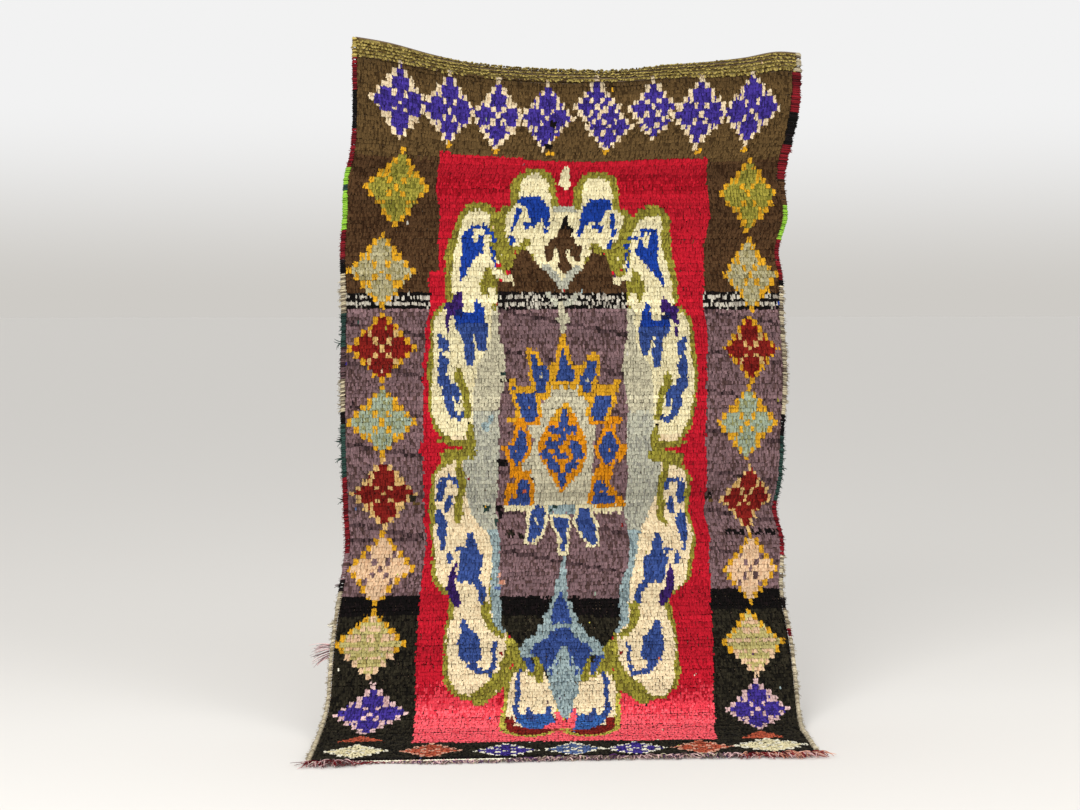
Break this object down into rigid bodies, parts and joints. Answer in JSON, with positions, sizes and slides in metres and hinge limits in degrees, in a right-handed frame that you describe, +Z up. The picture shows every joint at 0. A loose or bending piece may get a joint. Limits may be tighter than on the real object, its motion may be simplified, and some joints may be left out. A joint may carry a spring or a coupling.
{
  "type": "berber rug",
  "caption": "Hand-knotted wool pile rug hung by its top edge, its lower end sweeping forward onto the floor, with overcast sides and a short fringe.",
  "frame": {"origin": "middle of the top edge of the cloth's back, where the rug is held up", "axes": "+Z up, +X to the viewer's right along the cloth, -Y out of the pile towards the viewer"},
  "size_m": [1.3573, 0.7848, 1.7828],
  "materials": {
    "pile_wool": "matt knotted wool pile",
    "left_binding_yarn": "matt overcast wool, several colours",
    "right_binding_yarn": "matt overcast wool, several colours",
    "twined_cord_yarn": "matt twined wool",
    "fringe_yarn": "matt frayed wool",
    "loose_end_yarn": "matt frayed wool"
  },
  "bodies": {
    "root": {"pile_rug": "pile_wool", "selvedge_left": "left_binding_yarn", "selvedge_right": "right_binding_yarn", "end_cord": "twined_cord_yarn", "end_fringe": "fringe_yarn", "edge_tuft": "loose_end_yarn"}
  },
  "joints": []
}
